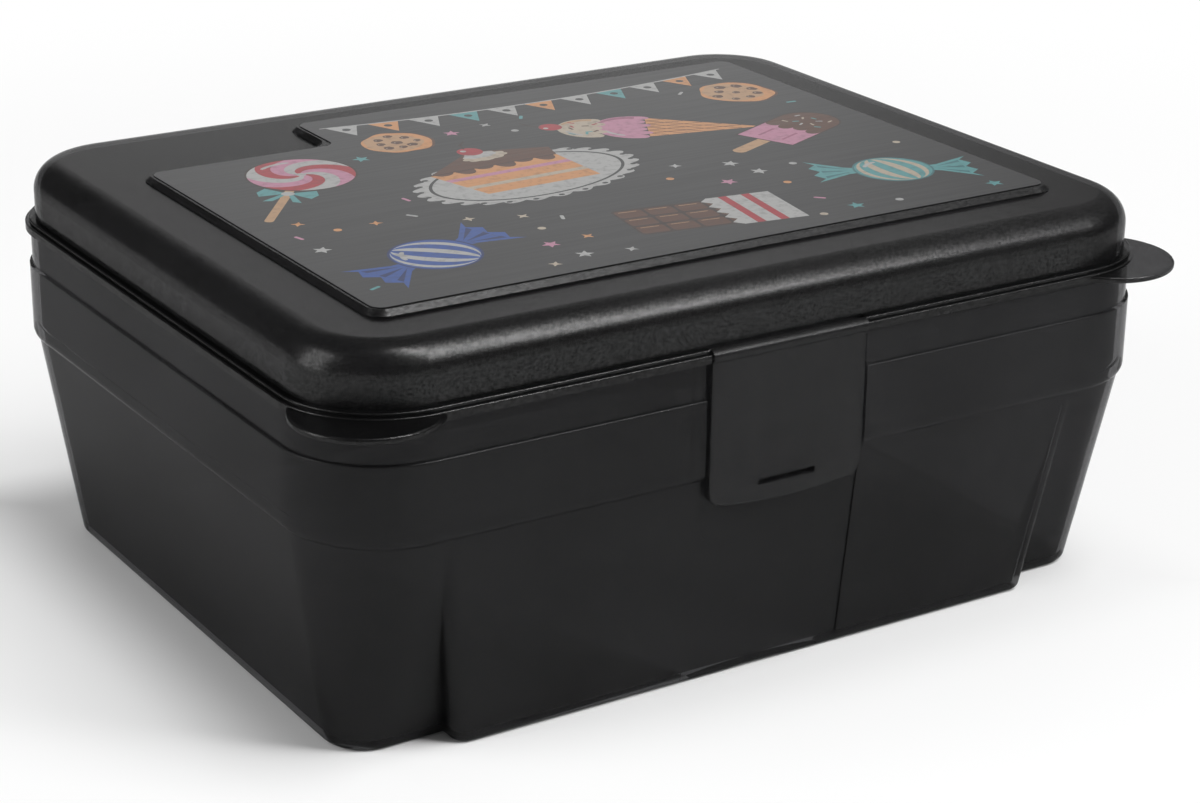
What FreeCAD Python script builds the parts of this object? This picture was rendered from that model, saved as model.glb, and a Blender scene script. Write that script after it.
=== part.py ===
import FreeCAD, Part
import math
import os

from FreeCAD import Vector

# Dessert box moulded in smoke-tinted plastic: a tapered tub, a domed lid that
# swings on moulded pins at the back, a front latch that hangs from the lid's
# rim, and a printed film on the lid's raised panel.
# Millimetres, +Z up, front at -Y, foot at z = 0, centred in X and Y.

# Overall form of the tub's band, from whose face the other faces step in
LENGTH = 225.6
DEPTH = 179.6
CORNER_R = 24.0
WALL = 1.6
FLOOR = 2.0

# Heights on the tub
RIM_Z = 80.4
COLLAR_H = 8.6
BAND_H = 19.8
FLANGE_T = 1.6

# Tub surfaces, as distances in from the band's face
COLLAR_IN = 0.7
SHOULDER_IN = 1.5
SIDE_FOOT_IN = 9.0
FRONT_FOOT_IN = 7.8
LEDGE_R = 0.5
BAND_EDGE_R = 3.0
FOOT_EDGE_R = 2.0

# Corner columns, set back from the broad front and back panels at the foot
COLUMN_IN = 7.0
COLUMN_W = 24.0
COLUMN_R = 10.0
PANEL_EDGE_R = 4.0

# Upstanding lip that locates the lid
LIP_H = 3.2
LIP_T = 1.4
LIP_GAP = 0.5

# Lid
LID_WALL = 1.6
LID_IN = 2.0
LID_H = 16.2
LID_SHOULDER_R = 7.0
BEAD_H = 1.9
BEAD_OUT = 0.5
STEP_H = 2.8
STEP_IN = 0.4
EDGE_R = 0.35

# Raised panel on the lid, with a rectangle left out at its back left corner
PANEL_L = 185.2
PANEL_D = 139.2
PANEL_H = 1.4
PANEL_R = 5.0
PANEL_BEVEL = 1.2
NOTCH_L = 49.6
NOTCH_D = 21.6

# Printed film on the panel
FILM_T = 0.2
FILM_IN = 2.0

# Lift ears at the two front corners of the lid
EAR_R = 16.6
EAR_X = 99.5
EAR_Y = 80.0
EAR_T = 1.5
EAR_EDGE_R = 0.6

# Front latch
LATCH_W = 41.6
LATCH_T = 1.8
LATCH_PROUD = 0.5
LATCH_DROP = 36.6
LATCH_SAG = 1.7
LATCH_CORNER_R = 4.0
LATCH_EDGE_R = 0.5
BARREL_R = 1.7
BARREL_IN = 0.6
BARREL_UP = 1.1
BARREL_GAP = 0.3
LATCH_PIN_R = 0.6
LATCH_PIN_L = 2.0
SLOT_W = 15.4
SLOT_H = 1.5
SLOT_UP = 5.0
CATCH_GAP = 0.25
CATCH_BITE = 0.5

# Channel in the tub's front that the latch lies in
CHANNEL_DEPTH = 2.2
CHANNEL_SIDE = 1.0
CHANNEL_LOW = 0.3
ARCH_W = 36.0
ARCH_H = 1.0

# Hinge at the back: two knuckles on the lid between pairs of tub brackets
HINGE_X = 62.0
HINGE_OUT = 4.2
HINGE_UP = 0.6
KNUCKLE_R = 2.6
KNUCKLE_W = 18.0
BRACKET_T = 3.0
BRACKET_H = 8.6
SIDE_GAP = 0.3
PIN_R = 1.4
PIN_GAP = 0.05

# Clearance between faces of different pieces that pass each other
PART_GAP = 0.3

# Reach of cutting bodies past the faces that they cut, and slack in telling which edges lie in a plane
OVER = 5.0
TOUCH = 1e-6

# Levels and places that follow from the sizes above
COLLAR_Z = RIM_Z - COLLAR_H
BAND_Z = COLLAR_Z - BAND_H
BORDER_Z = RIM_Z + LID_H
PANEL_Z = BORDER_Z + PANEL_H
LIP_IN = LID_IN + LID_WALL + LIP_GAP
MOUTH_IN = LIP_IN + LIP_T
BARREL_Y = -(DEPTH / 2 - BARREL_IN)
BARREL_Z = RIM_Z + BARREL_UP
LATCH_FACE_Y = -(DEPTH / 2 + LATCH_PROUD)
LATCH_BACK_Y = LATCH_FACE_Y + LATCH_T
LATCH_FOOT_Z = BARREL_Z - LATCH_DROP
SLOT_Z = LATCH_FOOT_Z + SLOT_UP
POCKET_Y = BARREL_Y + BARREL_R + BARREL_GAP
POCKET_Z = BARREL_Z + BARREL_R + BARREL_GAP
HINGE_Y = DEPTH / 2 + HINGE_OUT
HINGE_Z = RIM_Z + HINGE_UP


def box(x0, x1, y0, y1, z0, z1):
    """Block between two corners."""
    return Part.makeBox(x1 - x0, y1 - y0, z1 - z0, Vector(x0, y0, z0))


def rod(x0, x1, y, z, radius):
    """Round bar along X."""
    return Part.makeCylinder(radius, x1 - x0, Vector(x0, y, z), Vector(1, 0, 0))


def rounded_outline(points, radius):
    """Closed wire through flat corner points, each corner rounded, in or out."""
    edges = []
    starts = []
    ends = []
    count = len(points)
    for index, corner in enumerate(points):
        back = (points[index - 1] - corner).normalize()
        ahead = (points[(index + 1) % count] - corner).normalize()
        half_turn = back.getAngle(ahead) / 2
        reach = radius / math.tan(half_turn)
        middle = (back + ahead).normalize()
        bulge = corner + middle * (radius / math.sin(half_turn) - radius)
        starts.append(corner + back * reach)
        ends.append(corner + ahead * reach)
        edges.append(Part.Arc(starts[-1], bulge, ends[-1]).toShape())
    for index in range(count):
        edges.append(Part.LineSegment(ends[index - 1], starts[index]).toShape())
    return Part.Wire(Part.__sortEdges__(edges))


def rounded_rectangle(half_x, half_y, radius, z):
    """Rounded rectangle about the Z axis."""
    corners = [(-1, -1), (1, -1), (1, 1), (-1, 1)]
    return rounded_outline([Vector(sx * half_x, sy * half_y, z) for sx, sy in corners], radius)


def ring(inset, z):
    """The band's outline moved in by inset, or out where it is negative."""
    return rounded_rectangle(LENGTH / 2 - inset, DEPTH / 2 - inset, CORNER_R - inset, z)


def prism(wire, height):
    """Upright solid on a flat wire."""
    return Part.Face(wire).extrude(Vector(0, 0, height))


def side_prism(outline, x0, x1):
    """Solid along X on a closed outline of (y, z) points."""
    points = [Vector(x0, y, z) for y, z in outline]
    return Part.Face(Part.makePolygon(points + points[:1])).extrude(Vector(x1 - x0, 0, 0))


def edges_at(solid, z):
    """Edges of a solid that lie level at z."""
    return [e for e in solid.Edges if all(abs(v.Z - z) < TOUCH for v in e.Vertexes)]


def edges_in_face(solid, y, below_z):
    """Edges of a solid that lie in the upright plane at y and reach below a level."""
    flat = [e for e in solid.Edges if all(abs(v.Y - y) < TOUCH for v in e.Vertexes)]
    return [e for e in flat if e.BoundBox.ZMin < below_z]


# Tub

def lower_body(inset, edge_r):
    """Tapered lower tub: corner columns and the broad panels that stand proud of them."""
    top_z = BAND_Z + BAND_EDGE_R
    overlap = BAND_EDGE_R / BAND_Z
    side_foot = LENGTH / 2 - SIDE_FOOT_IN - inset
    front_foot = DEPTH / 2 - FRONT_FOOT_IN - inset
    side_top = LENGTH / 2 - SHOULDER_IN - inset + overlap * (SIDE_FOOT_IN - SHOULDER_IN)
    front_top = DEPTH / 2 - SHOULDER_IN - inset + overlap * (FRONT_FOOT_IN - SHOULDER_IN)
    column_top = front_top + overlap * COLUMN_IN
    columns = Part.makeLoft([
        rounded_rectangle(side_foot, front_foot - COLUMN_IN, COLUMN_R - inset, 0),
        rounded_rectangle(side_top, column_top, CORNER_R - SHOULDER_IN - inset, top_z),
    ], True, True)
    panels = Part.makeLoft([
        rounded_rectangle(side_foot - COLUMN_W, front_foot, PANEL_EDGE_R - inset, 0),
        rounded_rectangle(side_top - COLUMN_W, front_top, PANEL_EDGE_R - inset, top_z),
    ], True, True)
    if edge_r:
        columns = columns.makeFillet(edge_r, edges_at(columns, 0))
        panels = panels.makeFillet(edge_r, edges_at(panels, 0))
    return columns.fuse(panels)


def upper_outside():
    """Band of the tub with its eased ledge, and the collar set back above it."""
    band = prism(ring(0, BAND_Z), BAND_H)
    band = band.makeFillet(BAND_EDGE_R, edges_at(band, BAND_Z))
    band = band.makeFillet(LEDGE_R, edges_at(band, COLLAR_Z))
    return band.fuse(prism(ring(COLLAR_IN, COLLAR_Z), COLLAR_H))


def upper_inside():
    """Straight-walled room inside the band and the collar, up to the parting plane."""
    low_z = BAND_Z + WALL
    room = prism(ring(COLLAR_IN + WALL, low_z), RIM_Z - low_z)
    return room.makeFillet(BAND_EDGE_R, edges_at(room, low_z))


def latch_channel(inset):
    """Body of the channel down the tub's front, grown by inset for the wall's inner face."""
    half_w = LATCH_W / 2 + CHANNEL_SIDE + inset
    front = -(DEPTH / 2 + OVER)
    upper_y = -(DEPTH / 2 - CHANNEL_DEPTH - inset)
    low_y = -(DEPTH / 2 - SHOULDER_IN - CHANNEL_LOW - inset)
    foot_y = -(DEPTH / 2 - FRONT_FOOT_IN - CHANNEL_LOW - inset)
    outline = [
        (front, RIM_Z + OVER),
        (upper_y, RIM_Z + OVER),
        (upper_y, BAND_Z),
        (low_y, BAND_Z),
        (foot_y, 0),
        (front, 0),
    ]
    return side_prism(outline, -half_w, half_w)


def foot_arch():
    """Shallow arch under the front edge, below the channel."""
    radius = (ARCH_W ** 2 / 4 + ARCH_H ** 2) / (2 * ARCH_H)
    front = -DEPTH / 2
    reach = FRONT_FOOT_IN + CHANNEL_LOW + 2 * WALL
    return Part.makeCylinder(radius, reach, Vector(0, front, ARCH_H - radius), Vector(0, 1, 0))


def rim_lip():
    """Flange that the lid stands on and the lip inside it, open at the front for the latch's pocket."""
    flange = prism(ring(COLLAR_IN, RIM_Z - FLANGE_T), FLANGE_T)
    lip = prism(ring(LIP_IN, RIM_Z), LIP_H)
    half_gap = LATCH_W / 2 + BARREL_GAP + LATCH_PIN_L + 2 * PART_GAP
    mouth_y = -(DEPTH / 2 - MOUTH_IN)
    gap = box(-half_gap, half_gap, -DEPTH / 2, mouth_y, RIM_Z, RIM_Z + LIP_H)
    mouth = prism(ring(MOUTH_IN, RIM_Z - FLANGE_T), FLANGE_T + LIP_H)
    return flange.fuse(lip.cut(gap)).cut(mouth)


def hinge_bracket(x0):
    """One plate of the tub's hinge, with the bore that a lid pin runs in."""
    root_y = DEPTH / 2 - COLLAR_IN - WALL / 2
    top_z = RIM_Z - PART_GAP
    gusset = side_prism([
        (root_y, top_z - BRACKET_H),
        (HINGE_Y + KNUCKLE_R / 2, HINGE_Z - KNUCKLE_R / 2),
        (HINGE_Y, top_z),
        (root_y, top_z),
    ], x0, x0 + BRACKET_T)
    plate = gusset.fuse(rod(x0, x0 + BRACKET_T, HINGE_Y, HINGE_Z, KNUCKLE_R))
    return plate.cut(rod(x0 - OVER, x0 + BRACKET_T + OVER, HINGE_Y, HINGE_Z, PIN_R + PIN_GAP))


def catch_rib():
    """Rib on the channel's floor that snaps into the latch's slot."""
    half_w = SLOT_W / 2 - CATCH_GAP
    half_h = SLOT_H / 2 - CATCH_GAP
    root_y = -(DEPTH / 2 - SHOULDER_IN - CHANNEL_LOW - WALL)
    return box(-half_w, half_w, LATCH_BACK_Y - CATCH_BITE, root_y, SLOT_Z - half_h, SLOT_Z + half_h)


def tub():
    """Tub with its lip, hinge brackets and catch."""
    outside = lower_body(0, FOOT_EDGE_R).fuse(upper_outside()).cut(latch_channel(0)).cut(foot_arch())
    inside = lower_body(WALL, 0).fuse(upper_inside()).cut(latch_channel(WALL))
    inside = inside.cut(box(-LENGTH, LENGTH, -DEPTH, DEPTH, 0, FLOOR))
    shell = outside.cut(inside).fuse(rim_lip().cut(latch_channel(0)))
    brackets = []
    for side in (-1, 1):
        reach = KNUCKLE_W / 2 + SIDE_GAP
        brackets.append(hinge_bracket(side * HINGE_X - reach - BRACKET_T))
        brackets.append(hinge_bracket(side * HINGE_X + reach))
    inner_face = prism(ring(COLLAR_IN + WALL, 0), RIM_Z)
    shell = shell.fuse([bracket.cut(inner_face) for bracket in brackets])
    return shell.fuse(catch_rib().cut(inside)).removeSplitter()


# Lid

def panel_outline(inset, z):
    """Outline of the raised panel, moved in by inset, with its back left corner left out."""
    right = PANEL_L / 2 - inset
    back = PANEL_D / 2 - inset
    notch_x = NOTCH_L - PANEL_L / 2 + inset
    notch_y = PANEL_D / 2 - NOTCH_D - inset
    corners = [
        (-right, -back),
        (right, -back),
        (right, back),
        (notch_x, back),
        (notch_x, notch_y),
        (-right, notch_y),
    ]
    return rounded_outline([Vector(x, y, z) for x, y in corners], PANEL_R - inset)


def raised_panel():
    """Panel on top of the lid with bevelled sides."""
    panel = prism(panel_outline(0, BORDER_Z - LID_WALL / 2), PANEL_Z - BORDER_Z + LID_WALL / 2)
    return panel.makeChamfer(PANEL_BEVEL, edges_at(panel, PANEL_Z))


def rim_bead(out, height):
    """Low step round the lid's rim, eased along its top edge."""
    bead = prism(ring(-out, RIM_Z), height)
    return bead.makeFillet(EDGE_R, edges_at(bead, RIM_Z + height))


def lift_ear(side):
    """Rounded tab at a front corner, to lift the lid by."""
    ear = Part.makeCylinder(EAR_R, EAR_T, Vector(side * EAR_X, -EAR_Y, RIM_Z))
    rims = edges_at(ear, RIM_Z) + edges_at(ear, RIM_Z + EAR_T)
    return ear.makeFillet(EAR_EDGE_R, rims)


def hinge_knuckle(x):
    """Knuckle on the lid with a moulded pin at each end and an arm to the rim."""
    half_w = KNUCKLE_W / 2
    pin_half = half_w + SIDE_GAP + BRACKET_T
    root_y = DEPTH / 2 - LID_IN - LID_WALL / 2
    low_z = RIM_Z + PART_GAP
    arm = side_prism([
        (root_y, low_z),
        (HINGE_Y, low_z),
        (HINGE_Y, HINGE_Z + KNUCKLE_R),
        (root_y, HINGE_Z + KNUCKLE_R + HINGE_OUT / 4),
    ], x - half_w, x + half_w)
    barrel = rod(x - half_w, x + half_w, HINGE_Y, HINGE_Z, KNUCKLE_R)
    pin = rod(x - pin_half, x + pin_half, HINGE_Y, HINGE_Z, PIN_R)
    return arm.fuse([barrel, pin])


def lid():
    """Domed lid with its rim, ears, panel, hinge knuckles and latch pocket."""
    dome = prism(ring(LID_IN, RIM_Z), LID_H)
    dome = dome.makeFillet(LID_SHOULDER_R, edges_at(dome, BORDER_Z))
    outside = dome.fuse([
        rim_bead(BEAD_OUT, BEAD_H),
        rim_bead(-STEP_IN, STEP_H),
        raised_panel(),
        lift_ear(-1),
        lift_ear(1),
        hinge_knuckle(-HINGE_X),
        hinge_knuckle(HINGE_X),
    ])
    hollow_top = BORDER_Z - LID_WALL
    hollow = prism(ring(LID_IN + LID_WALL, RIM_Z), hollow_top - RIM_Z)
    hollow = hollow.makeFillet(LID_SHOULDER_R - LID_WALL, edges_at(hollow, hollow_top))
    under_panel = prism(panel_outline(LID_WALL, hollow_top - LID_WALL), LID_WALL + PANEL_H)
    shell = outside.cut(hollow).cut(under_panel)

    half_pocket = LATCH_W / 2 + BARREL_GAP
    half_back = half_pocket + LATCH_PIN_L
    pocket_front = -(DEPTH / 2 + OVER)
    wall_y = -(DEPTH / 2 - LID_IN - LID_WALL / 2)
    pocket_back = box(-half_back, half_back, wall_y, POCKET_Y + LID_WALL,
                      RIM_Z + PART_GAP, POCKET_Z + LID_WALL)
    pocket = box(-half_pocket, half_pocket, pocket_front, POCKET_Y, RIM_Z, POCKET_Z)
    sockets = rod(-half_back, half_back, BARREL_Y, BARREL_Z, LATCH_PIN_R + PIN_GAP)
    return shell.fuse(pocket_back).cut(pocket.fuse(sockets)).removeSplitter()


def top_film():
    """Printed film laid on the raised panel."""
    return prism(panel_outline(FILM_IN, PANEL_Z), FILM_T)


# Latch

def latch_outline():
    """Outline of the latch's plate in its front face: straight sides, round corners, a bowed lower edge."""
    half_w = LATCH_W / 2
    bow_r = (half_w ** 2 + LATCH_SAG ** 2) / (2 * LATCH_SAG)
    bow_z = LATCH_FOOT_Z + bow_r
    corner_x = half_w - LATCH_CORNER_R
    corner_z = bow_z - math.sqrt((bow_r - LATCH_CORNER_R) ** 2 - corner_x ** 2)
    bow_end = math.atan2(corner_z - bow_z, corner_x)

    def at(x, z):
        return Vector(x, LATCH_FACE_Y, z)

    def on_corner(side, angle):
        x = corner_x + LATCH_CORNER_R * math.cos(angle)
        return at(side * x, corner_z + LATCH_CORNER_R * math.sin(angle))

    edges = [
        Part.LineSegment(at(-half_w, BARREL_Z), on_corner(-1, 0)),
        Part.Arc(on_corner(-1, 0), on_corner(-1, bow_end / 2), on_corner(-1, bow_end)),
        Part.Arc(on_corner(-1, bow_end), at(0, LATCH_FOOT_Z), on_corner(1, bow_end)),
        Part.Arc(on_corner(1, bow_end), on_corner(1, bow_end / 2), on_corner(1, 0)),
        Part.LineSegment(on_corner(1, 0), at(half_w, BARREL_Z)),
        Part.LineSegment(at(half_w, BARREL_Z), at(-half_w, BARREL_Z)),
    ]
    return Part.Wire([edge.toShape() for edge in edges])


def front_latch():
    """Latch: a plate with a catch slot, hung from a barrel with a pin at each end."""
    plate = Part.Face(latch_outline()).extrude(Vector(0, LATCH_T, 0))
    plate = plate.makeFillet(LATCH_EDGE_R, edges_in_face(plate, LATCH_FACE_Y, BARREL_Z - LATCH_EDGE_R))
    slot = box(-SLOT_W / 2, SLOT_W / 2, LATCH_FACE_Y - OVER, LATCH_BACK_Y + OVER,
               SLOT_Z - SLOT_H / 2, SLOT_Z + SLOT_H / 2)
    half_w = LATCH_W / 2
    half_pins = half_w + LATCH_PIN_L
    barrel = rod(-half_w, half_w, BARREL_Y, BARREL_Z, BARREL_R)
    pins = rod(-half_pins, half_pins, BARREL_Y, BARREL_Z, LATCH_PIN_R)
    return plate.cut(slot).fuse([barrel, pins]).removeSplitter()


PARTS = {
    "tub": tub,
    "lid": lid,
    "front_latch": front_latch,
    "top_film": top_film,
}

if __name__ == "__main__":
    os.makedirs("parts", exist_ok=True)
    for name, make in PARTS.items():
        solid = make()
        solid.exportStep(f"parts/{name}.step")
        size = solid.BoundBox
        print(name, len(solid.Solids), "solid", solid.isValid(), round(solid.Volume),
              [round(v, 2) for v in (size.XMin, size.XMax, size.YMin, size.YMax, size.ZMin, size.ZMax)])
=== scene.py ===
"""Looks of a dessert box in smoke-tinted plastic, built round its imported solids."""

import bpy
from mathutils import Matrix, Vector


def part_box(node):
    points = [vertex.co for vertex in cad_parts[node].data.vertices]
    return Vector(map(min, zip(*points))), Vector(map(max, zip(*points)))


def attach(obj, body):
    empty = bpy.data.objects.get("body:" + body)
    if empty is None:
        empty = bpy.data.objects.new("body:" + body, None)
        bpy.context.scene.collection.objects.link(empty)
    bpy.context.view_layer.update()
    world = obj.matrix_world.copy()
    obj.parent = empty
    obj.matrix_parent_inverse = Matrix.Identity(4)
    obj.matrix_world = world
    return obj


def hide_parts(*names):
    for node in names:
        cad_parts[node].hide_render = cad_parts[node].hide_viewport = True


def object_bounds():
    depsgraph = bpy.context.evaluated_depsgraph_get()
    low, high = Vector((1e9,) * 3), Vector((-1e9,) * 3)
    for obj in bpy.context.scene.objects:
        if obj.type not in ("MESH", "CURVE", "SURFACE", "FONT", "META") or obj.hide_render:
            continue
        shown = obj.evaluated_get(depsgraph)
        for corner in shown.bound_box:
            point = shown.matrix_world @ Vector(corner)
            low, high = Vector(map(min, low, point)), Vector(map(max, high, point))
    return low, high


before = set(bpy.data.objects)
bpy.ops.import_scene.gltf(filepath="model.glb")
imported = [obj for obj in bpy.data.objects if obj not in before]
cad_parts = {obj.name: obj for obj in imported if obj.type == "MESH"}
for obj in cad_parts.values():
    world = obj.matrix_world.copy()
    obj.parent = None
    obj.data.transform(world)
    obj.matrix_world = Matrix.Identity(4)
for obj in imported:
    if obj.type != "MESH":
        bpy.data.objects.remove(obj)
CAD_BOX = [list(corner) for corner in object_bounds()]

import math
import random

import bmesh
import bpy
from bpy.props import FloatProperty, FloatVectorProperty, IntProperty, PointerProperty
from mathutils import Matrix, Vector
from mathutils.geometry import delaunay_2d_cdt

bl_info = {
    "name": "Dessert box",
    "version": (1, 0, 0),
    "blender": (4, 5, 0),
    "location": "View3D > Sidebar > Dessert box",
    "description": "Finishes a smoke-tinted dessert box: tub, lid, latch and printed film",
    "category": "Object",
}

MM = 0.001

# Span of a noise's values that is put to use
NOISE_LOW, NOISE_HIGH = 0.3, 0.7

# Soft boxes: places and sizes in metres, and the point that they are turned to
KEY_PLACE, KEY_SIZE = (0.77, -1.04, 1.75), (0.42, 2.1)
STRIP_PLACE, STRIP_SIZE = (-1.0, 0.2, 0.45), (0.5, 1.0)
LAMP_AIM = (0.0, 0.0, 0.06)

SENSOR_MM = 36.0


# Sizes and colours that a user would change

def colour(label, about, default):
    """A colour setting."""
    return FloatVectorProperty(name=label, description=about, subtype="COLOR", size=3, min=0.0, max=1.0,
                               default=default)


def length(label, about, default):
    """A length setting, in metres."""
    return FloatProperty(name=label, description=about, subtype="DISTANCE", unit="LENGTH",
                         min=0.0, precision=5, default=default)


def share(label, about, default):
    """A setting from 0 to 1."""
    return FloatProperty(name=label, description=about, subtype="FACTOR", min=0.0, max=1.0, default=default)


class PlasticSettings(bpy.types.PropertyGroup):
    """Smoke-tinted plastic of the tub, the lid and the latch."""

    tub_tint: colour("Tub tint", "Light that one wall of the tub lets through", (0.1, 0.1, 0.103))
    lid_tint: colour("Lid tint", "Light that one wall of the lid lets through", (0.04, 0.04, 0.0415))
    latch_tint: colour("Latch tint", "Light that the latch's plate lets through", (0.13, 0.13, 0.133))
    clearness: share("Clearness", "Share of the light in the plastic that passes unscattered", 0.93)
    ior: FloatProperty(name="Index of refraction", description="Bending of light in the plastic",
                       min=1.0, max=2.0, default=1.05)
    haze: share("Haze", "Blur of what is seen through the plastic", 0.05)
    tub_shine: share("Tub shine", "Strength of the gloss on the tub's skin", 0.062)
    lid_shine: share("Lid shine", "Strength of the gloss on the lid's skin", 0.135)
    latch_shine: share("Latch shine", "Strength of the gloss on the latch's skin", 0.088)
    skin_ior: FloatProperty(name="Skin index", description="Index of refraction of the plastic's glossy skin",
                            min=1.0, max=3.0, default=2.4)
    tub_roughness: share("Tub roughness", "Roughness of the tub's skin", 0.36)
    lid_roughness: share("Lid roughness", "Roughness of the lid's grained skin", 0.3)
    latch_roughness: share("Latch roughness", "Roughness of the latch's skin", 0.32)
    grain_size: length("Grain size", "Size of the grain that the mould leaves", 0.0006)
    tub_grain: share("Tub grain", "How far the tub's gloss changes with the grain", 0.2)
    lid_grain: share("Lid grain", "How far the lid's gloss changes with the grain", 0.4)
    latch_grain: share("Latch grain", "How far the latch's gloss changes with the grain", 0.2)


class PrintSettings(bpy.types.PropertyGroup):
    """Film on the lid's panel and the inks printed on it."""

    roughness: share("Film roughness", "Roughness of the film", 0.3)
    gloss: share("Film gloss", "Strength of the film's reflection", 0.085)
    mottle: share("Ink mottle", "How far the inks thin out in places", 0.3)
    mottle_size: length("Mottle size", "Size of the thin places in the inks", 0.0016)
    specks: IntProperty(name="Specks", description="Small stars and dots strewn between the sweets", min=0,
                        default=46)
    bare: colour("Bare film", "Film with no ink, over the dark panel", (0.022, 0.022, 0.023))
    off_white: colour("Off-white", "Ink of paper, sugar and flags", (0.27, 0.27, 0.265))
    cream: colour("Cream", "Ink of cream and ice", (0.3, 0.255, 0.2))
    caramel: colour("Caramel", "Ink of cones and sponge", (0.39, 0.185, 0.075))
    biscuit: colour("Biscuit", "Ink of biscuits and sticks", (0.31, 0.19, 0.105))
    chocolate: colour("Chocolate", "Ink of chocolate", (0.062, 0.025, 0.014))
    cocoa: colour("Cocoa", "Ink of outlines and deep shades", (0.02, 0.011, 0.008))
    red: colour("Red", "Ink of cherries and stripes", (0.24, 0.022, 0.03))
    pink: colour("Pink", "Ink of berry ice", (0.33, 0.15, 0.215))
    rose: colour("Rose", "Ink of the shades on pink", (0.22, 0.075, 0.125))
    teal: colour("Teal", "Ink of mint sweets", (0.065, 0.2, 0.205))
    sea: colour("Sea", "Ink of the shades on teal", (0.03, 0.11, 0.12))
    blue: colour("Blue", "Ink of blue wrappers", (0.02, 0.055, 0.2))
    navy: colour("Navy", "Ink of the shades on blue", (0.008, 0.018, 0.075))


class StageSettings(bpy.types.PropertyGroup):
    """Floor, light and camera."""

    floor_size: length("Floor size", "Side of the floor", 8.0)
    floor_colour: colour("Floor colour", "Pale floor", (0.88, 0.88, 0.88))
    key_power: FloatProperty(name="Key power", description="Power of the soft box overhead", subtype="POWER",
                             min=0.0, default=50.0)
    strip_power: FloatProperty(name="Strip power", description="Power of the upright soft box at the left",
                               subtype="POWER", min=0.0, default=6.5)
    sky: share("Sky level", "Brightness of the room away from its bright wall", 0.18)
    side: FloatProperty(name="Side level", description="Brightness of the reflector at the right", min=0.0,
                        default=0.85)
    wall: FloatProperty(name="Wall level", description="Brightness of the wall behind", min=0.0, default=1.3)
    lens_mm: FloatProperty(name="Lens", description="Focal length on a sensor 36 mm wide", min=1.0,
                           default=85.376)
    camera_at: FloatVectorProperty(name="Camera place", description="Camera's place in the part's frame",
                                   subtype="XYZ", unit="LENGTH", size=3, default=(-0.3511, -0.5608, 0.2931))
    azimuth: FloatProperty(name="Azimuth", description="Camera's angle round the box", subtype="ANGLE",
                           unit="ROTATION", default=math.radians(-32.646))
    elevation: FloatProperty(name="Elevation", description="Camera's angle above the floor", subtype="ANGLE",
                             unit="ROTATION", default=math.radians(21.12))
    roll: FloatProperty(name="Roll", description="Camera's turn about its own axis", subtype="ANGLE",
                        unit="ROTATION", default=math.radians(-0.781))


# Shader helpers

def add_node(tree, kind, **values):
    """A new shader node with its properties set."""
    node = tree.nodes.new(kind)
    for name, value in values.items():
        setattr(node, name, value)
    return node


def add_math(tree, operation, first, second):
    """A math node on two values, each a socket or a number."""
    node = add_node(tree, "ShaderNodeMath", operation=operation)
    for index, value in enumerate((first, second)):
        if isinstance(value, bpy.types.NodeSocket):
            tree.links.new(value, node.inputs[index])
        else:
            node.inputs[index].default_value = value
    return node.outputs[0]


def add_range(tree, value, low, high, to_low, to_high):
    """A value eased from one range to another."""
    node = add_node(tree, "ShaderNodeMapRange", interpolation_type="SMOOTHSTEP")
    tree.links.new(value, node.inputs["Value"])
    for name, number in (("From Min", low), ("From Max", high), ("To Min", to_low), ("To Max", to_high)):
        node.inputs[name].default_value = number
    return node.outputs["Result"]


def add_mix(tree, factor, first, second):
    """A colour between two colours, each a socket or a colour."""
    node = add_node(tree, "ShaderNodeMix", data_type="RGBA")
    tree.links.new(factor, node.inputs["Factor"])
    for name, value in (("A", first), ("B", second)):
        socket = next(s for s in node.inputs if s.name == name and s.type == "RGBA")
        if isinstance(value, bpy.types.NodeSocket):
            tree.links.new(value, socket)
        else:
            socket.default_value = (*value, 1.0)
    return next(s for s in node.outputs if s.type == "RGBA")


def noise_at(tree, size, detail, offset=0.0):
    """Noise whose features have a size, which is a socket or a number in metres."""
    place = add_node(tree, "ShaderNodeTexCoord").outputs["Object"]
    scale = add_math(tree, "DIVIDE", 1.0, size)
    noise = add_node(tree, "ShaderNodeTexNoise", noise_dimensions="4D")
    noise.inputs["W"].default_value = offset
    noise.inputs["Detail"].default_value = detail
    tree.links.new(place, noise.inputs["Vector"])
    tree.links.new(scale, noise.inputs["Scale"])
    return noise.outputs["Fac"]


def new_group(name, inputs, outputs):
    """A shader node group with its sockets, and its inner input and output nodes."""
    group = bpy.data.node_groups.new(name, "ShaderNodeTree")
    for label, kind, default in inputs:
        socket = group.interface.new_socket(label, in_out="INPUT", socket_type=kind)
        socket.default_value = default
    for label, kind in outputs:
        group.interface.new_socket(label, in_out="OUTPUT", socket_type=kind)
    return group, add_node(group, "NodeGroupInput"), add_node(group, "NodeGroupOutput")


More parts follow.
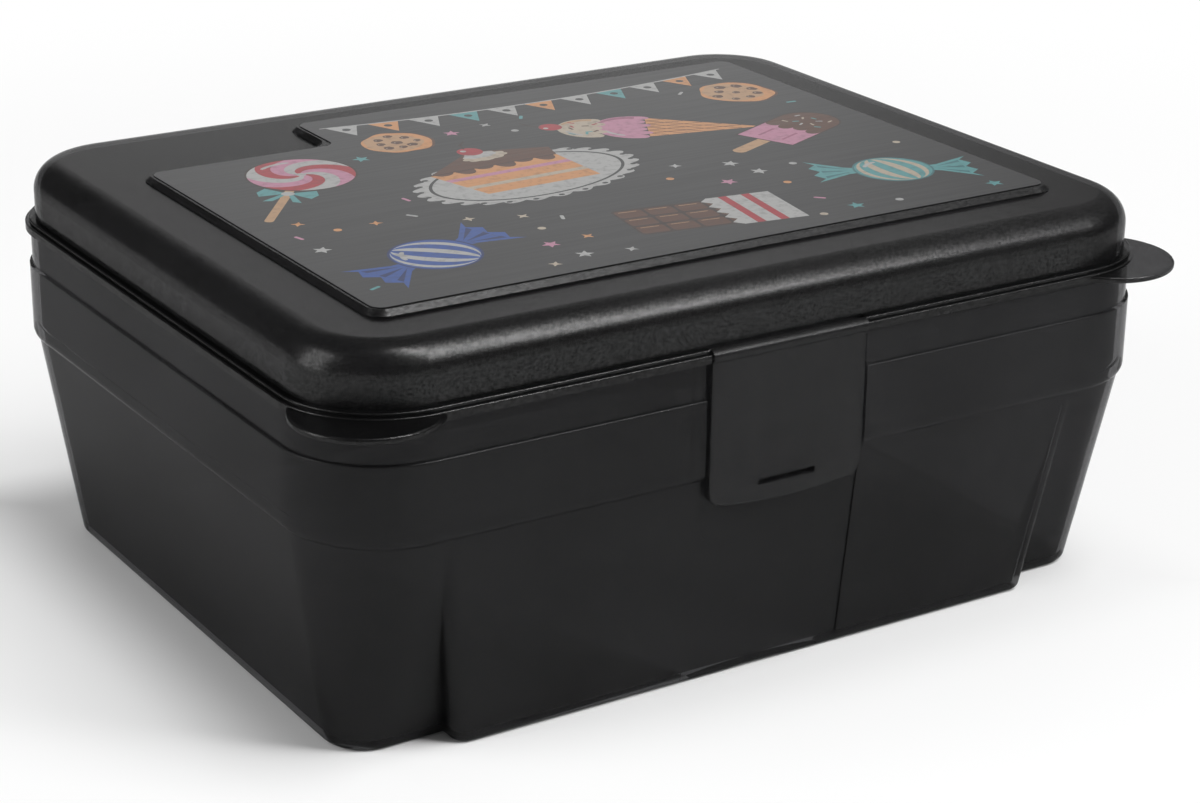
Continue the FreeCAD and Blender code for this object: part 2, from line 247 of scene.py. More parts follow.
def moulded_grain_group():
    """Grain of a moulded face: fine flecks of gloss, and slow changes of gloss, haze and tint."""
    group, given, result = new_group("moulded grain", [
        ("Grain size", "NodeSocketFloat", 0.0005),
        ("Grain depth", "NodeSocketFloat", 0.2),
        ("Shine", "NodeSocketFloat", 0.3),
        ("Haze", "NodeSocketFloat", 0.2),
        ("Tint", "NodeSocketColor", (0.1, 0.1, 0.1, 1.0)),
    ], [
        ("Shine", "NodeSocketFloat"),
        ("Haze", "NodeSocketFloat"),
        ("Colour", "NodeSocketColor"),
    ])
    patch_size, fleck_size = 0.035, 0.004
    swing = noise_at(group, given.outputs["Grain size"], 1.0)
    swing = add_range(group, swing, NOISE_LOW, NOISE_HIGH, -1.0, 1.0)
    grain = add_math(group, "ADD", 1.0, add_math(group, "MULTIPLY", swing, given.outputs["Grain depth"]))
    slow = noise_at(group, patch_size, 2.0, offset=4.0)
    fine = noise_at(group, fleck_size, 2.0, offset=9.0)
    wander = add_range(group, slow, NOISE_LOW, NOISE_HIGH, 0.88, 1.12)
    flecks = add_range(group, fine, 0.35, NOISE_HIGH, 0.97, 1.05)
    shine = add_math(group, "MULTIPLY", given.outputs["Shine"], grain)
    deep = add_math(group, "MULTIPLY", wander, flecks)
    tint = add_node(group, "ShaderNodeVectorMath", operation="SCALE")
    group.links.new(given.outputs["Tint"], tint.inputs[0])
    group.links.new(deep, tint.inputs["Scale"])
    group.links.new(add_math(group, "MULTIPLY", shine, flecks), result.inputs["Shine"])
    group.links.new(add_math(group, "MULTIPLY", given.outputs["Haze"], wander), result.inputs["Haze"])
    group.links.new(tint.outputs[0], result.inputs["Colour"])
    return group


def ink_mottle_group():
    """Ink that thins out in places, over bare film, with the film's faint streaks."""
    group, given, result = new_group("ink mottle", [
        ("Ink", "NodeSocketColor", (0.3, 0.3, 0.3, 1.0)),
        ("Film", "NodeSocketColor", (0.02, 0.02, 0.02, 1.0)),
        ("Mottle", "NodeSocketFloat", 0.3),
        ("Mottle size", "NodeSocketFloat", 0.0016),
        ("Roughness", "NodeSocketFloat", 0.3),
    ], [
        ("Colour", "NodeSocketColor"),
        ("Roughness", "NodeSocketFloat"),
        ("Height", "NodeSocketFloat"),
    ])
    spots = noise_at(group, given.outputs["Mottle size"], 3.0, offset=2.0)
    thin = add_math(group, "MULTIPLY", add_range(group, spots, 0.45, 0.75, 0.0, 1.0), given.outputs["Mottle"])
    place = add_node(group, "ShaderNodeTexCoord").outputs["Object"]
    streaks_per_metre = (25.0, 900.0, 1.0)
    stretch = add_node(group, "ShaderNodeMapping")
    stretch.inputs["Scale"].default_value = streaks_per_metre
    group.links.new(place, stretch.inputs["Vector"])
    streaks = add_node(group, "ShaderNodeTexNoise")
    streaks.inputs["Scale"].default_value = 1.0
    streaks.inputs["Detail"].default_value = 2.0
    group.links.new(stretch.outputs["Vector"], streaks.inputs["Vector"])
    haze = add_range(group, streaks.outputs["Fac"], NOISE_LOW, NOISE_HIGH, 0.94, 1.06)
    inked = add_mix(group, thin, given.outputs["Ink"], given.outputs["Film"])
    rough = add_math(group, "MULTIPLY", given.outputs["Roughness"], haze)
    group.links.new(inked, result.inputs["Colour"])
    group.links.new(rough, result.inputs["Roughness"])
    group.links.new(streaks.outputs["Fac"], result.inputs["Height"])
    return group


def new_material(name):
    """A material with an empty Principled shader."""
    material = bpy.data.materials.new(name)
    material.use_nodes = True
    return material, material.node_tree, material.node_tree.nodes["Principled BSDF"]


def add_group(tree, group, **values):
    """A placed node group with its inputs set; underscores in a name stand for spaces."""
    node = add_node(tree, "ShaderNodeGroup", node_tree=group)
    for name, value in values.items():
        socket = node.inputs[name.replace("_", " ")]
        socket.default_value = (*value, 1.0) if socket.type == "RGBA" else value
    return node


def smoke_plastic(name, tint, shine, roughness, depth):
    """Smoke-tinted translucent plastic with a moulded grain."""
    plastic = bpy.context.scene.dessert_box_plastic
    group = bpy.data.node_groups.get("moulded grain") or moulded_grain_group()
    material, tree, shader = new_material(name)
    grain = add_group(tree, group, Grain_size=plastic.grain_size, Grain_depth=depth, Shine=shine,
                      Haze=plastic.haze, Tint=tuple(tint))
    tree.links.new(grain.outputs["Colour"], shader.inputs["Base Color"])
    tree.links.new(grain.outputs["Haze"], shader.inputs["Roughness"])
    tree.links.new(grain.outputs["Shine"], shader.inputs["Coat Weight"])
    shader.inputs["Coat Roughness"].default_value = roughness
    shader.inputs["Coat IOR"].default_value = plastic.skin_ior
    shader.inputs["IOR"].default_value = plastic.ior
    shader.inputs["Transmission Weight"].default_value = plastic.clearness
    return material


def printed_ink(name, ink):
    """One ink on the film, or the bare film."""
    film = bpy.context.scene.dessert_box_print
    group = bpy.data.node_groups.get("ink mottle") or ink_mottle_group()
    material, tree, shader = new_material(name)
    mottle = add_group(tree, group, Ink=tuple(ink), Film=tuple(film.bare), Mottle=film.mottle,
                       Mottle_size=film.mottle_size, Roughness=film.roughness)
    streak_depth = 0.000004
    bump = add_node(tree, "ShaderNodeBump")
    bump.inputs["Strength"].default_value = 1.0
    bump.inputs["Distance"].default_value = streak_depth
    tree.links.new(mottle.outputs["Height"], bump.inputs["Height"])
    tree.links.new(mottle.outputs["Colour"], shader.inputs["Base Color"])
    tree.links.new(mottle.outputs["Roughness"], shader.inputs["Roughness"])
    tree.links.new(bump.outputs["Normal"], shader.inputs["Normal"])
    shader.inputs["Specular IOR Level"].default_value = film.gloss
    return material


def dress(node, material):
    """Gives a CAD node one material."""
    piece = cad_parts[node]
    piece.data.materials.clear()
    piece.data.materials.append(material)


# Flat shapes for the print, in millimetres

def arc(cx, cy, rx, ry, start, end, count):
    """Points along an ellipse, with angles in degrees."""
    turns = [math.radians(start + (end - start) * i / (count - 1)) for i in range(count)]
    return [(cx + rx * math.cos(t), cy + ry * math.sin(t)) for t in turns]


def disc(cx, cy, rx, ry=None, count=56):
    """A filled ellipse."""
    return arc(cx, cy, rx, ry or rx, 0.0, 360.0 * (count - 1) / count, count)


def bar(cx, cy, width, height, radius):
    """A rectangle with round corners."""
    x, y = width / 2 - radius, height / 2 - radius
    points = []
    for sx, sy, start in ((1, 1, 0), (-1, 1, 90), (-1, -1, 180), (1, -1, 270)):
        points += arc(cx + sx * x, cy + sy * y, radius, radius, start, start + 90, 7)
    return points


def stroke(points, width):
    """A line of some width through points, with tapered round ends."""
    left, right = [], []
    for index, (x, y) in enumerate(points):
        x0, y0 = points[max(index - 1, 0)]
        x1, y1 = points[min(index + 1, len(points) - 1)]
        reach = math.hypot(x1 - x0, y1 - y0)
        end = index in (0, len(points) - 1)
        half = width * (0.3 if end else 0.5)
        nx, ny = -(y1 - y0) / reach * half, (x1 - x0) / reach * half
        left.append((x + nx, y + ny))
        right.append((x - nx, y - ny))
    return left + right[::-1]


def star(cx, cy, radius, waist, rays, turn=90.0):
    """A star."""
    points = []
    for index in range(2 * rays):
        reach = radius if index % 2 == 0 else radius * waist
        angle = math.radians(turn + 180.0 * index / rays)
        points.append((cx + reach * math.cos(angle), cy + reach * math.sin(angle)))
    return points


def ripple(cx, cy, rx, ry, waves, depth, count=180):
    """A disc whose edge goes in and out in round waves."""
    points = []
    for index in range(count):
        angle = 2 * math.pi * index / count
        swell = 1.0 + depth * abs(math.sin(waves * angle / 2))
        points.append((cx + rx * swell * math.cos(angle), cy + ry * swell * math.sin(angle)))
    return points


def crumbly(cx, cy, radius, seed, rough=0.06, count=44):
    """A disc with an uneven edge."""
    chance = random.Random(seed)
    waves = [(chance.uniform(0, 6.28), chance.uniform(0.3, 1.0), order) for order in (2, 3, 5, 7)]
    points = []
    for index in range(count):
        angle = 2 * math.pi * index / count
        swell = 1.0 + rough * sum(size * math.sin(order * angle + start) / 2 for start, size, order in waves)
        points.append((cx + radius * swell * math.cos(angle), cy + radius * swell * math.sin(angle)))
    return points


def moved(shapes, x, y, turn=0.0, size=1.0):
    """Shapes turned by degrees, scaled and set in place."""
    c, s = math.cos(math.radians(turn)) * size, math.sin(math.radians(turn)) * size
    return [(ink, [(x + c * u - s * v, y + s * u + c * v) for u, v in points]) for ink, points in shapes]


# Sweets that make up the print

def swirl_lollipop(inks, bow):
    """Round lollipop with a swirl, a stick and a bow."""
    radius, line, arms, twist, steps = 13.0, 0.55, 9, 2.1, 14

    def edge(turn):
        points = []
        for step in range(steps + 1):
            t = step / steps
            angle = turn - twist * t
            points.append((radius * t * math.cos(angle), radius * t * math.sin(angle)))
        return points

    shapes = [("biscuit", bar(0, -25.0, 2.2, 26.0, 1.0)), ("cocoa", disc(0, 0, radius + line))]
    for index in range(arms):
        first = 2 * math.pi * index / arms
        last = 2 * math.pi * (index + 1) / arms
        rim = arc(0, 0, radius, radius, math.degrees(first - twist), math.degrees(last - twist), 8)
        shapes.append((inks[index % len(inks)], edge(first) + rim[1:-1] + edge(last)[:0:-1]))
    shapes.append(("off_white", disc(0, 0, 1.2, count=20)))
    shapes.append(("off_white", stroke(arc(0, 0, 10.6, 10.6, 118, 165, 12), 1.1)))
    for side in (-1, 1):
        shapes.append((bow, [(0.0, -15.6), (side * 6.2, -12.6), (side * 7.4, -16.0), (side * 6.2, -19.0)]))
        shapes.append((bow, [(0.0, -16.0), (side * 1.4, -16.4), (side * 4.6, -22.4), (side * 2.4, -22.0)]))
    shapes.append(("off_white", disc(0, -15.8, 1.6, count=20)))
    return shapes


def scoop(cx, cy, radius, ink, shade, drips):
    """Ball of ice with a wavy lower edge and a shaded side."""
    points = arc(cx, cy, radius, radius, -8, 188, 40)
    step = 2 * radius / drips
    for index in range(drips):
        drop = radius * (0.34 if index % 2 else 0.22)
        left = cx - radius + step * index
        points += arc(left + step / 2, cy - 1.2, step / 2, drop, 180, 360, 9)[(0 if index else 1):]
    light = arc(cx, cy, radius * 0.78, radius * 0.78, 112, 160, 12)
    gloom = arc(cx, cy, radius * 0.96, radius * 0.96, -6, 62, 14)
    inner = arc(cx - radius * 0.16, cy + radius * 0.02, radius * 0.94, radius * 0.94, 58, -6, 14)
    return [(ink, points), (shade, gloom + inner), ("off_white", stroke(light, 1.0))]


def ice_cream_cone():
    """Waffle cone with two balls of ice and a cherry."""
    tip, left, right = (0.0, -31.0), (-8.6, -2.0), (8.6, -2.0)

    def along(a, b, t):
        return (a[0] + (b[0] - a[0]) * t, a[1] + (b[1] - a[1]) * t)

    shapes = [("caramel", [along(tip, left, 0.04), along(tip, right, 0.04), right, left])]
    for index in range(1, 6):
        t = index / 6
        shapes.append(("chocolate", stroke([along(tip, left, t), along(left, right, 1 - t)], 0.55)))
        shapes.append(("chocolate", stroke([along(tip, right, t), along(right, left, 1 - t)], 0.55)))
    shapes += scoop(0, 1.5, 10.2, "pink", "rose", 6)
    shapes += scoop(-0.6, 12.5, 8.6, "cream", "biscuit", 5)
    for index in range(9):
        angle = 24.0 + 37.0 * index
        x, y = 5.2 * math.cos(math.radians(angle * 3)) - 0.6, 14.6 + 3.4 * math.sin(math.radians(angle * 2))
        shapes += moved([(("red", "teal", "chocolate")[index % 3], bar(0, 0, 2.0, 0.7, 0.3))], x, y, angle)
    shapes.append(("red", disc(0.6, 22.6, 3.0, count=32)))
    shapes.append(("off_white", disc(-0.4, 23.8, 0.7, count=14)))
    shapes.append(("cocoa", stroke([(0.8, 25.0), (1.8, 28.0), (4.2, 30.2)], 0.7)))
    return shapes


def wrapped_sweet(ink, shade, stripe):
    """Round sweet in a twisted wrapper."""
    radius = 9.0
    shapes = []
    for side in (-1, 1):
        fan = [(side * 7.6, 1.6), (side * 11.0, 2.6)]
        for index in range(7):
            reach = 19.5 if index % 2 == 0 else 17.4
            fan.append((side * reach, 8.2 - 16.4 * index / 6))
        fan += [(side * 11.0, -2.6), (side * 7.6, -1.6)]
        shapes.append((ink, fan))
        for height in (-4.4, 0.0, 4.4):
            near, far, half = side * 10.2, side * 17.0, 0.8
            shapes.append((shade, [(near, height * 0.18), (far, height + half), (far, height - half)]))
    shapes.append((shade, disc(0, 0, radius + 0.5)))
    shapes.append((ink, disc(0, 0, radius)))
    for middle in (-58, -22, 14, 50):
        points = []
        for longitude, order in ((middle - 8, 1), (middle + 8, -1)):
            heights = [math.radians(order * (-78 + 156 * i / 16)) for i in range(17)]
            across = radius * math.sin(math.radians(longitude))
            points += [(across * math.cos(h), radius * math.sin(h)) for h in heights]
        shapes += moved([(stripe, points)], 0, 0, 24)
    shapes.append(("off_white", stroke(arc(0, 0, 6.7, 6.7, 115, 160, 10), 1.0)))
    return shapes


def layer_cake():
    """Slice of layer cake on a lace paper."""
    shapes = [("off_white", ripple(0, -4.0, 26.0, 15.0, 28, 0.09)), ("bare", disc(0, -4.0, 24.4, 13.9, 80)),
              ("off_white", disc(0, -4.0, 23.6, 13.3, 80))]
    for index in range(26):
        angle = 2 * math.pi * index / 26
        shapes.append(("bare", disc(26.6 * math.cos(angle), -4.0 + 15.3 * math.sin(angle), 0.75, 0.55, 12)))
    low, high = -9.5, 8.0
    layers = (("caramel", 4.6), ("cream", 1.9), ("caramel", 4.6), ("pink", 1.9), ("caramel", 4.5))
    level = low
    for ink, thick in layers:
        lean = 0.12
        a, b = (level - low) * lean, (level + thick - low) * lean
        shapes.append((ink, [(-15.0 - a, level), (13.0 + a, level - 3.0), (13.0 + b, level + thick - 3.0),
                             (-15.0 - b, level + thick)]))
        level += thick
    shapes.append(("chocolate", [(-17.2, high), (15.2, high - 3.0), (17.4, high + 2.4), (1.0, high + 10.0)]))
    for index in range(6):
        x = -16.0 + 5.1 * index
        y = high - 3.0 * (x + 17.2) / 32.4 + 0.4
        drop = 3.6 if index % 2 else 2.2
        shapes.append(("chocolate", arc(x + 2.4, y, 2.45, drop, 180, 360, 11)))
    shapes.append(("cocoa", stroke([(-17.2, high), (15.2, high - 3.0)], 0.5)))
    shapes.append(("cream", ripple(1.6, high + 5.0, 5.2, 2.5, 9, 0.14, 72)))
    shapes.append(("off_white", ripple(1.4, high + 6.6, 3.8, 1.9, 7, 0.14, 60)))
    shapes.append(("red", disc(1.2, high + 9.8, 2.9, count=32)))
    shapes.append(("off_white", disc(0.2, high + 10.9, 0.7, count=14)))
    shapes.append(("cocoa", stroke([(1.4, high + 12.2), (2.6, high + 15.2), (5.0, high + 17.0)], 0.7)))
    return shapes


def chocolate_bar():
    """Bar of chocolate half out of its paper."""
    shapes = [("cocoa", bar(0, 0, 40.0, 19.0, 1.6))]
    for column in range(5):
        for row in range(3):
            x, y = -16.0 + 7.7 * column, -6.0 + 6.0 * row
            shapes.append(("chocolate", bar(x, y, 6.9, 5.2, 0.9)))
            shapes.append(("biscuit", stroke([(x - 2.4, y + 1.7), (x + 2.2, y + 1.7)], 0.45)))
    half, end, teeth = 10.4, 21.6, 10
    edge = [(3.0 if index % 2 else 5.2, -half + 2 * half * index / teeth) for index in range(teeth + 1)]
    shapes.append(("off_white", edge + [(end, half), (end, -half)]))
    for middle in (9.5, 15.5):
        left, right = middle - 1.1, middle + 1.1
        shapes.append(("red", [(left, -half), (right, -half), (right, half), (left, half)]))
    return shapes


def ice_lolly():
    """Ice lolly dipped in chocolate, on a stick."""
    def shell(width, top, bottom):
        return [(-width, bottom), (width, bottom)] + arc(0, top - width, width, width, 0, 180, 24)
    shapes = [("biscuit", bar(0, -19.5, 3.6, 15.0, 1.7)), ("cocoa", shell(8.5, 17.0, -13.6)),
              ("pink", shell(8.0, 16.5, -13.1))]
    wave = []
    for index in range(4):
        drop = 2.6 if index % 2 else 1.5
        wave += arc(-6.0 + 4.0 * index, 1.0, 2.0, drop, 180, 360, 9)[(1 if index else 0):]
    shapes.append(("chocolate", wave + arc(0, 8.5, 8.0, 8.0, 0, 180, 24)))
    for index in range(10):
        angle = 50.0 * index
        x, y = -4.8 + 2.4 * (index % 5), 5.0 + 5.0 * (index // 5) + (1.4 if index % 2 else 0.0)
        shapes += moved([(("cream", "teal", "off_white")[index % 3], bar(0, 0, 1.9, 0.6, 0.28))], x, y, angle)
    shapes.append(("rose", stroke([(-3.4, -10.4), (-3.4, -3.0)], 1.3)))
    shapes.append(("rose", stroke([(3.4, -10.4), (3.4, -3.0)], 1.3)))
    return shapes


def chip_cookie(seed):
    """Biscuit with chocolate chips."""
    chance = random.Random(seed)
    shapes = [("chocolate", crumbly(0.3, -0.4, 10.6, seed)), ("caramel", crumbly(0, 0, 10.3, seed)),
              ("biscuit", crumbly(-0.7, 0.8, 8.6, seed + 1))]
    for index in range(9):
        angle = 2 * math.pi * index / 8
        reach = 0.0 if index == 8 else chance.uniform(4.6, 7.2)
        x, y = reach * math.cos(angle), reach * math.sin(angle)
        shapes.append(("chocolate", crumbly(x, y, chance.uniform(1.1, 1.7), seed + index, 0.16, 18)))
        shapes.append(("cream", disc(x - 0.4, y + 0.5, 0.28, count=10)))
    return shapes


def bunting(x0, x1, y, sag, flags, inks):
    """String of pointed flags."""
    def on(t):
        return (x0 + (x1 - x0) * t, y - 4 * sag * t * (1 - t))
    shapes = []
    for index in range(flags):
        a, b = on((index + 0.12) / flags), on((index + 0.88) / flags)
        point = ((a[0] + b[0]) / 2, (a[1] + b[1]) / 2 - 9.0)
        ink = inks[index % len(inks)]
        shapes.append((ink, [a, point, b]))
        middle = ((a[0] + b[0]) / 2, (a[1] + b[1]) / 2 - 3.2)
        shapes.append(("bare", disc(*middle, 1.1, count=16)))
    shapes.append(("off_white", stroke([on(i / 40) for i in range(41)], 0.7)))
    return shapes


def sweets():
    """All the sweets in their places on the film, each with its middle and reach."""
    return [
        (bunting(-38.0, 84.0, 60.5, 5.0, 11, ("off_white", "caramel", "off_white", "teal")), None),
        (moved(swirl_lollipop(("red", "off_white", "pink"), "teal"), -60.0, 27.0, -38.0, 1.0),
         (-66.0, 18.0, 24.0)),
        (moved(layer_cake(), -14.0, 4.0, 8.0, 1.12), (-14.0, 2.0, 31.0)),
        (moved(ice_cream_cone(), 33.0, 22.0, 62.0, 1.0), (36.0, 22.0, 30.0)),
        (moved(wrapped_sweet("blue", "navy", "off_white"), -62.0, -42.0, 24.0, 1.12), (-62.0, -42.0, 22.0)),
        (moved(chocolate_bar(), 6.0, -47.0, -8.0, 1.0), (6.0, -47.0, 23.0)),
        (moved(wrapped_sweet("teal", "sea", "cream"), 66.0, -40.0, -22.0, 1.05), (66.0, -40.0, 21.0)),
        (moved(ice_lolly(), 66.0, 2.0, -66.0, 1.0), (64.0, 2.0, 24.0)),
        (moved(chip_cookie(5), 74.0, 38.0, 10.0, 0.95), (74.0, 38.0, 11.0)),
        (moved(chip_cookie(11), -27.0, 40.0, 40.0, 0.85), (-27.0, 40.0, 10.0)),
    ]


def strewn_specks(count, taken, outline):
    """Small stars and dots strewn where no sweet lies."""
    chance = random.Random(3)
    xs, ys = [x for x, y in outline], [y for x, y in outline]
    margin, clear_of_sweets, apart = 6.0, 3.0, 9.0
    below_flags, notch_x, notch_y = 46.0, -36.0, 36.0
    shapes, places = [], []
    for _ in range(4000):
        if len(places) == count:
            break
        x = chance.uniform(min(xs) + margin, max(xs) - margin)
        y = chance.uniform(min(ys) + margin, below_flags)
        near_sweet = any(math.hypot(x - cx, y - cy) < reach + clear_of_sweets for cx, cy, reach in taken)
        near_speck = any(math.hypot(x - u, y - v) < apart for u, v in places)
        in_notch = x < notch_x and y > notch_y
        if near_sweet or near_speck or in_notch:
            continue
        kind = len(places) % 4
        ink = ("off_white", "caramel", "pink", "off_white", "teal", "cream")[len(places) % 6]
        if kind == 0:
            shapes.append((ink, star(x, y, 2.3, 0.45, 5, chance.uniform(0, 72))))
        elif kind == 1:
            shapes.append((ink, disc(x, y, 1.0, count=18)))
        elif kind == 2:
            shapes += moved([(ink, bar(0, 0, 3.0, 0.9, 0.4))], x, y, chance.uniform(0, 180))
        else:
            shapes.append((ink, star(x, y, 1.7, 0.4, 4, chance.uniform(0, 90))))
        places.append((x, y))
    return shapes


# Film mesh

def anticlockwise(points):
    """The same outline, in anticlockwise order."""
    after = points[1:] + points[:1]
    area = sum(x0 * y1 - x1 * y0 for (x0, y0), (x1, y1) in zip(points, after))
    return points if area > 0 else points[::-1]


def film_outline():
    """Outline of the film's upper face, in millimetres, in order, from its CAD solid."""
    low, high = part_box("top_film")
    weld = 1e-6
    bm = bmesh.new()
    bm.from_mesh(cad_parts["top_film"].data)
    bmesh.ops.remove_doubles(bm, verts=bm.verts, dist=weld)
    top = [f for f in bm.faces if all(abs(v.co.z - high.z) < weld for v in f.verts)]
    inside = set(top)
    rim = [e for e in {e for f in top for e in f.edges} if sum(f in inside for f in e.link_faces) == 1]
    after = {}
    for edge in rim:
        face = next(f for f in edge.link_faces if f in inside)
        loop = next(l for l in face.loops if l.edge == edge)
        after[loop.vert] = loop.link_loop_next.vert
    start = next(iter(after))
    ordered = [start]
    while after[ordered[-1]] is not start:
        ordered.append(after[ordered[-1]])
    points = [(v.co.x / MM, v.co.y / MM) for v in ordered]
    bm.free()
    return points, low.z, high.z


def printed_mesh(outline, shapes, low, high):
    """Closed film whose upper face is divided along the print's shapes, and the inks in slot order."""
    loops = [("bare", outline)] + shapes
    points, faces = [], []
    for ink, loop in loops:
        first = len(points)
        points += [Vector(p) for p in anticlockwise(loop)]
        faces.append(list(range(first, len(points))))
    weld_mm = 1e-4
    verts, _, tris, _, _, sources = delaunay_2d_cdt(points, [], faces, 1, weld_mm, True)
    inks = list(dict.fromkeys(ink for ink, loop in loops))
    bm = bmesh.new()
    made = [bm.verts.new((v.x * MM, v.y * MM, high)) for v in verts]
    for tri, source in zip(tris, sources):
        if 0 not in source:
            continue
        face = bm.faces.new([made[i] for i in tri])
        face.material_index = inks.index(loops[max(source)][0])
        if face.normal.z < 0:
            face.normal_flip()
    loose = [v for v in bm.verts if not v.link_faces]
    bmesh.ops.delete(bm, geom=loose, context="VERTS")
    bmesh.ops.recalc_face_normals(bm, faces=bm.faces)
    bmesh.ops.dissolve_limit(bm, angle_limit=0.001, verts=bm.verts, edges=bm.edges, delimit={"MATERIAL"})
    rim = [e for e in bm.edges if e.is_boundary]
    walls = bmesh.ops.extrude_edge_only(bm, edges=rim)["geom"]
    sunk = [v for v in walls if isinstance(v, bmesh.types.BMVert)]
    for vert in sunk:
        vert.co.z = low
    base = bmesh.ops.holes_fill(bm, edges=[e for e in bm.edges if e.is_boundary], sides=0)["faces"]
    for face in base + [f for f in walls if isinstance(f, bmesh.types.BMFace)]:
        face.material_index = 0
    bmesh.ops.recalc_face_normals(bm, faces=bm.faces)
    mesh = bpy.data.meshes.new("printed_film")
    bm.to_mesh(mesh)
    bm.free()
    return mesh, inks


# Operators

class DESSERTBOX_OT_tub(bpy.types.Operator):
    """Finish the tub in polished smoke-tinted plastic"""

    bl_idname = "dessert_box.tub"
    bl_label = "Finish tub"

    def execute(self, context):
        plastic = context.scene.dessert_box_plastic
        dress("tub", smoke_plastic("smoke_tub", plastic.tub_tint, plastic.tub_shine, plastic.tub_roughness,
                                   plastic.tub_grain))
        return {"FINISHED"}


class DESSERTBOX_OT_lid(bpy.types.Operator):
    """Finish the lid in grained smoke-tinted plastic"""

    bl_idname = "dessert_box.lid"
    bl_label = "Finish lid"

    def execute(self, context):
        plastic = context.scene.dessert_box_plastic
        dress("lid", smoke_plastic("smoke_lid", plastic.lid_tint, plastic.lid_shine, plastic.lid_roughness,
                                   plastic.lid_grain))
        return {"FINISHED"}


class DESSERTBOX_OT_latch(bpy.types.Operator):
    """Finish the front latch in smoke-tinted plastic"""

    bl_idname = "dessert_box.latch"
    bl_label = "Finish latch"

    def execute(self, context):
        plastic = context.scene.dessert_box_plastic
        dress("front_latch", smoke_plastic("smoke_latch", plastic.latch_tint, plastic.latch_shine,
                                           plastic.latch_roughness, plastic.latch_grain))
        return {"FINISHED"}


class DESSERTBOX_OT_film(bpy.types.Operator):
    """Print the film on the lid's panel with sweets in flat inks"""

    bl_idname = "dessert_box.film"
    bl_label = "Print film"

    def execute(self, context):
        settings = context.scene.dessert_box_print
        outline, low, high = film_outline()
        laid = sweets()
        taken = [place for shapes, place in laid if place]
        shapes = [shape for group, place in laid for shape in group]
        shapes += strewn_specks(settings.specks, taken, outline)
        mesh, inks = printed_mesh(outline, shapes, low, high)
        for ink in inks:
            mesh.materials.append(printed_ink("ink_" + ink, getattr(settings, ink)))
        film = bpy.data.objects.new("printed_film", mesh)
        context.scene.collection.objects.link(film)
        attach(film, "lid")
        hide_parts("top_film")
        return {"FINISHED"}


